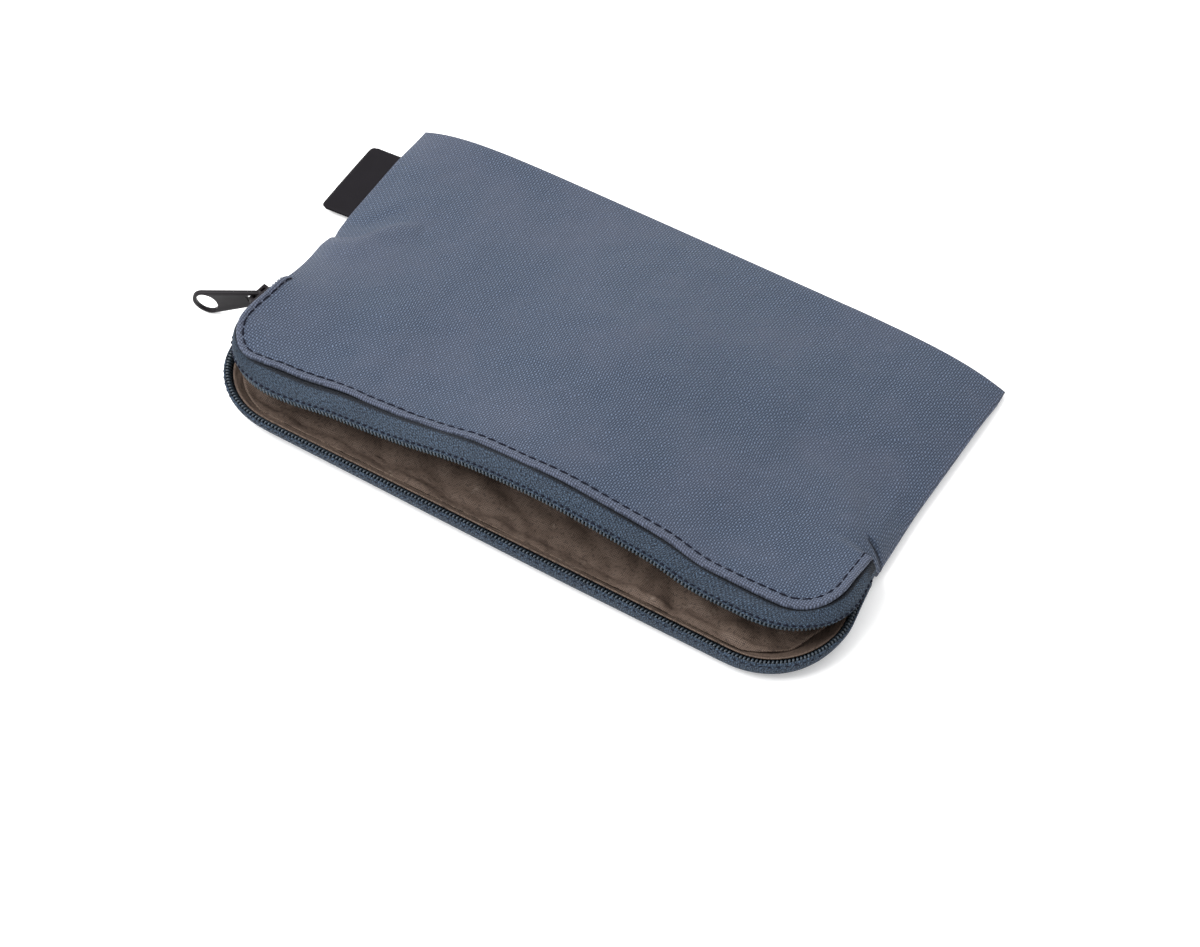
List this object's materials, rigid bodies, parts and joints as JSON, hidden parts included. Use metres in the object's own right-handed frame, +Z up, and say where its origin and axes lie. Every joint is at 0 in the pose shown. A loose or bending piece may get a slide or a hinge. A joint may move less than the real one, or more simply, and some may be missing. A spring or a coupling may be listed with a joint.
{
  "type": "zip-around travel pouch",
  "caption": "Flat waxed-canvas travel pouch lying on its back, its coil zip open along the near edge, with a lined inside, a side label and a hanging pull tab.",
  "frame": {"origin": "on the floor under the middle of the back panel, 53 mm in front of the far seam", "axes": "+X along the far seam towards the zip's closed end, +Y away from the mouth, +Z up off the back panel"},
  "size_m": [0.1922, 0.1101, 0.0194],
  "materials": {
    "canvas": "waxed",
    "lining": "matte",
    "tape": "matte",
    "coil": "satin",
    "thread": "matte",
    "label": "matte",
    "metal": "satin"
  },
  "bodies": {
    "pouch": {"back_panel": "canvas", "back_lining": "lining", "front_panel": "canvas", "front_lining": "lining", "zip_tape_back": "tape", "zip_coil_back": "coil", "tape_sewing_back": "thread", "zip_tape_front_ends": "tape", "zip_coil_front_ends": "coil", "topstitch_front_ends": "thread", "topstitch_back": "thread", "seam_thread_far": "thread", "seam_thread_left": "thread", "seam_thread_right": "thread", "bartack_left": "thread", "bartack_right": "thread", "side_label": "label"},
    "lip": {"front_lip": "canvas", "front_lip_lining": "lining", "zip_tape_front": "tape", "zip_coil_front": "coil", "tape_sewing_front": "thread", "topstitch_front": "thread"},
    "slider": {"slider_body": "metal"},
    "tab": {"pull_tab": "metal"}
  },
  "joints": [
    {"name": "mouth_lip", "type": "hinge", "parent": "pouch", "child": "lip", "pos_m": [0, -0.023, 0.014], "axis": [-1, 0, 0], "range_deg": [-4, 45]},
    {"name": "slider_run", "type": "slide", "parent": "pouch", "child": "slider", "axis": [-0.2068, -0.9728, -0.1045], "range_m": [0, 0.007]},
    {"name": "tab_swing", "type": "hinge", "parent": "slider", "child": "tab", "pos_m": [-0.08402, -0.02109, 0.00924], "axis": [-0.2029, -0.2674, 0.942], "range_deg": [-20, 40]}
  ]
}
